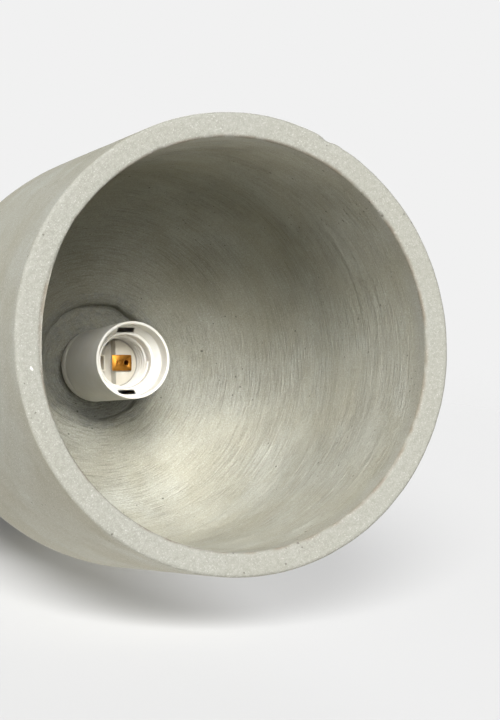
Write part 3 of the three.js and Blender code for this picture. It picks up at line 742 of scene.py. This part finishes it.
def softened(node, name, width, segments=2):
    """A copy of a CAD node as one joined skin with its sharp edges rounded."""
    bpy.ops.object.select_all(action="DESELECT")
    made = bpy.data.objects.new(name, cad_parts[node].data.copy())
    made.data.name = name
    bpy.context.scene.collection.objects.link(made)
    bpy.context.view_layer.objects.active = made
    made.select_set(True)
    if made.data.has_custom_normals:
        bpy.ops.mesh.customdata_custom_splitnormals_clear()
    bpy.ops.object.mode_set(mode="EDIT")
    bpy.ops.mesh.select_all(action="SELECT")
    bpy.ops.mesh.remove_doubles(threshold=0.002 * MM)
    bpy.ops.mesh.dissolve_limited(angle_limit=math.radians(0.5))
    bpy.ops.object.mode_set(mode="OBJECT")
    return bevelled(made, width, segments)


cap = softened("holder_cap", "cap_moulding", 0.25 * MM)
finish(cap, polyester, "shade", "white_plastic", "holder_cap")


# ---- Contact block ----
# A disc moulded in melamine, with one half raised for the centre contact and a square collar that guides
# the side contact.
# Melamine, creamier and duller than the lampholder's shell.
melamine = white_moulding("moulded_melamine", "#cdc8ba", "#bdb5a1", 0.45)
block = softened("contact_block", "contact_block_moulding", 0.22 * MM)
finish(block, melamine, "shade", "block_plastic", "contact_block")


# ---- Brass contacts ----
# Sheet brass, rolled, blanked and bent, then fixed to the block with rolled tubular rivets. Handling and
# heat have turned it from yellow towards brown.
STRIP_HALF = 4.2 * MM
STRIP_THICKNESS = 0.8 * MM
STRIP_START = -1.4 * MM
STRIP_END = 9.27 * MM
RIVET_X = 6.07 * MM
NUB_X = 1.77 * MM
NUB_RADIUS = 1.35 * MM
strip_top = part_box("centre_contact")[1].z
strip_low = strip_top - STRIP_THICKNESS


def sheet_metal(name, colour, tarnish, roughness):
    """A bare metal with faint rolling marks and a patchy tarnish."""
    made = bpy.data.materials.new(name)
    made.use_nodes = True
    tree = made.node_tree
    surface = tree.nodes["Principled BSDF"]
    place = add(tree, "TexCoord").outputs["Object"]
    patch = add(tree, "MapRange", {
        0: add(tree, "TexNoise", {
            "Vector": place, "Scale": 1 / (3.5 * MM), "Detail": 4, "Roughness": 0.6,
        }),
        1: 0.45, 2: 0.7, 3: 0, 4: 0.7,
    })
    tree.links.new(
        add(tree, "Mix", {0: patch, 6: linear(colour), 7: linear(tarnish)}, data_type="RGBA").outputs[2],
        surface.inputs["Base Color"],
    )
    surface.inputs["Metallic"].default_value = 1
    gloss = add(tree, "MapRange", {
        0: add(tree, "TexNoise", {"Vector": place, "Scale": 1 / (1.2 * MM), "Detail": 3}), 1: 0.3, 2: 0.7,
        3: roughness - 0.07, 4: roughness + 0.12,
    })
    tree.links.new(gloss.outputs[0], surface.inputs["Roughness"])
    rolled = add(tree, "Mapping", {"Vector": place, "Scale": (1, 1, 14)}).outputs[0]
    bump = add(tree, "Bump", {
        "Height": add(tree, "TexNoise", {"Vector": rolled, "Scale": 1 / (2 * MM), "Detail": 2}),
        "Distance": 0.01 * MM, "Strength": 1.0,
    })
    tree.links.new(bump.outputs["Normal"], surface.inputs["Normal"])
    return made


# Yellow brass, browned in patches.
brass = sheet_metal("rolled_brass", "#a8742f", "#7a4a1c", 0.36)

plate = block_tool((STRIP_START, -STRIP_HALF, strip_low), (STRIP_END, STRIP_HALF, strip_top), 0.7 * MM)
plate.name = plate.data.name = "centre_contact_strip"
nub = turned(
    "nub",
    [(0, strip_top - 0.3 * MM), (NUB_RADIUS, strip_top - 0.3 * MM), (NUB_RADIUS, strip_low)]
    + arc((NUB_RADIUS - 0.15 * MM, strip_low - 0.35 * MM), (0.15 * MM, 0.15 * MM), 0, -90, 4)
    + [(0.75 * MM, strip_low - 0.5 * MM), (0.45 * MM, strip_low - 0.15 * MM), (0, strip_low - 0.1 * MM)],
    32,
    closed=False,
)
nub.data.transform(Matrix.Translation((NUB_X, 0, 0)))
boolean(plate, nub, "UNION")
hole = turned(
    "hole",
    [(0, strip_top + MM), (1.45 * MM, strip_top + MM), (1.45 * MM, strip_low - MM), (0, strip_low - MM)],
    24,
    closed=False,
)
hole.data.transform(Matrix.Translation((RIVET_X, 0, 0)))
boolean(plate, hole, "DIFFERENCE")
bevelled(plate, 0.12 * MM)
plate.data.transform(Matrix.Rotation(HOLDER_TURN, 4, "Z"))
finish(plate, brass, "centre_spring", "brass", "centre_contact")


def rivet(name, node, centre_x):
    """A tubular rivet along Z with a rolled head at its lower end."""
    low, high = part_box(node)
    bore, shank, head, roll = 1.3 * MM, 1.15 * MM, 1.75 * MM, 0.2 * MM
    shape = [(shank - 0.2 * MM, high.z), (shank, high.z), (shank, low.z + 3 * roll)]
    shape += arc((head - roll, low.z + roll), (roll, roll), 70, -90, 6)
    shape += arc((bore + roll, low.z + roll), (roll, roll), -90, -180, 4)
    shape += [(shank - 0.2 * MM, low.z + 4 * roll)]
    made = turned(name, shape, 32)
    made.data.transform(Matrix.Translation((centre_x, 0, 0)))
    made.data.transform(Matrix.Rotation(HOLDER_TURN, 4, "Z"))
    smooth(made, 50)
    return finish(made, brass, "shade", "brass", node)


side_low, side_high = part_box("side_contact_rivet")
side_rivet_x = -((side_low + side_high) / 2).xy.length
rivet("centre_contact_rolled_rivet", "centre_contact_rivet", RIVET_X)
rivet("side_contact_rolled_rivet", "side_contact_rivet", side_rivet_x)
side = softened("side_contact", "side_contact_strip", 0.1 * MM)
finish(side, brass, "side_spring", "brass", "side_contact")


# ---- Terminals and screws inside the lampholder ----
# Turned and milled brass terminals with zinc-plated steel screws.
# Steel with a thin bright zinc plate.
zinc = sheet_metal("zinc_plated_steel", "#c3c7ca", "#a9a9a2", 0.34)
for node in ("live_terminal", "neutral_terminal"):
    finish(softened(node, node + "_body", 0.15 * MM), brass, "shade", "brass", node)
for node in (
    "live_terminal_screw", "neutral_terminal_screw", "block_screw_a", "block_screw_b", "cap_lock_screw"
):
    finish(softened(node, node + "_turned", 0.12 * MM), zinc, "shade", "zinc_steel", node)


# ---- Hanging hardware ----
# A hollow threaded nipple through the roof, with a rubber seal, a steel washer, a split washer and a nut
# on the crown, a seal, a washer and a nut in the pocket, and a turned cord grip with a brass grub screw.
# Nickel plate on brass for the cord grip, and dull black rubber for the seals.
nickel = sheet_metal("nickel_plated_brass", "#cfccc4", "#b5b0a4", 0.28)
rubber = bpy.data.materials.new("black_rubber")
rubber.use_nodes = True
tree = rubber.node_tree
surface = tree.nodes["Principled BSDF"]
place = add(tree, "TexCoord").outputs["Object"]
tree.links.new(
    add(tree, "Mix", {
        0: add(tree, "TexNoise", {"Vector": place, "Scale": 1 / (4 * MM), "Detail": 3}),
        6: linear("#1d1d1c"), 7: linear("#34332f"),
    }, data_type="RGBA").outputs[2],
    surface.inputs["Base Color"],
)
surface.inputs["Roughness"].default_value = 0.75
bump = add(tree, "Bump", {
    "Height": add(tree, "TexNoise", {"Vector": place, "Scale": 1 / (0.5 * MM), "Detail": 2}),
    "Distance": 0.04 * MM, "Strength": 1.0,
})
tree.links.new(bump.outputs["Normal"], surface.inputs["Normal"])


def ring_of(name, node, round_by, hole):
    """A flat ring with rounded edges in the place of a CAD node."""
    low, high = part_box(node)
    radius = high.x
    shape = arc((radius - round_by, low.z + round_by), (round_by, round_by), -90, 0, 4)
    shape += arc((radius - round_by, high.z - round_by), (round_by, round_by), 0, 90, 4)
    shape += arc((hole + round_by, high.z - round_by), (round_by, round_by), 90, 180, 4)
    shape += arc((hole + round_by, low.z + round_by), (round_by, round_by), 180, 270, 4)
    return smooth(turned(name, shape, 72), 60)


for name, node, round_by, material, slot in (
    ("crown_seal", "crown_gasket", 0.6, rubber, "rubber"),
    ("crown_flat_washer", "crown_washer", 0.4, zinc, "zinc_steel"),
    ("pocket_seal", "pocket_gasket", 0.3, rubber, "rubber"),
    ("pocket_flat_washer", "pocket_washer", 0.3, zinc, "zinc_steel"),
):
    finish(ring_of(name, node, round_by * MM, NIPPLE_HOLE), material, "shade", slot, node)


def hexagon_nut(name, node):
    """A hexagon nut whose corners are turned off at both faces."""
    low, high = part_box(node)
    corner = high.x
    made = softened(node, name, 0.05 * MM, 1)
    inset = 0.9 * MM
    drop = inset * math.tan(math.radians(30))
    floor, roof, outside = low.z - 0.01 * MM, high.z + 0.01 * MM, corner + 0.1 * MM
    shape = [(0, floor), (corner - inset, floor), (outside, low.z + drop)]
    shape += [(outside, high.z - drop), (corner - inset, roof), (0, roof)]
    boolean(made, turned("chamfer", shape, 96, closed=False), "INTERSECT")
    smooth(made, 25)
    return finish(made, zinc, "shade", "zinc_steel", node)


hexagon_nut("crown_hexagon_nut", "crown_nut")
hexagon_nut("pocket_hexagon_nut", "pocket_nut")
split = softened("crown_spring_washer", "crown_split_washer", 0.15 * MM)
finish(split, zinc, "shade", "zinc_steel", "crown_spring_washer")
finish(softened("nipple", "hollow_nipple", 0.15 * MM), zinc, "shade", "zinc_steel", "nipple")
grip = softened("cord_grip_body", "cord_grip_turning", 0.2 * MM)
finish(grip, nickel, "shade", "nickel", "cord_grip_body")
grub = softened("cord_grip_screw", "cord_grip_grub_screw", 0.15 * MM)
finish(grub, brass, "grip_screw", "brass", "cord_grip_screw")
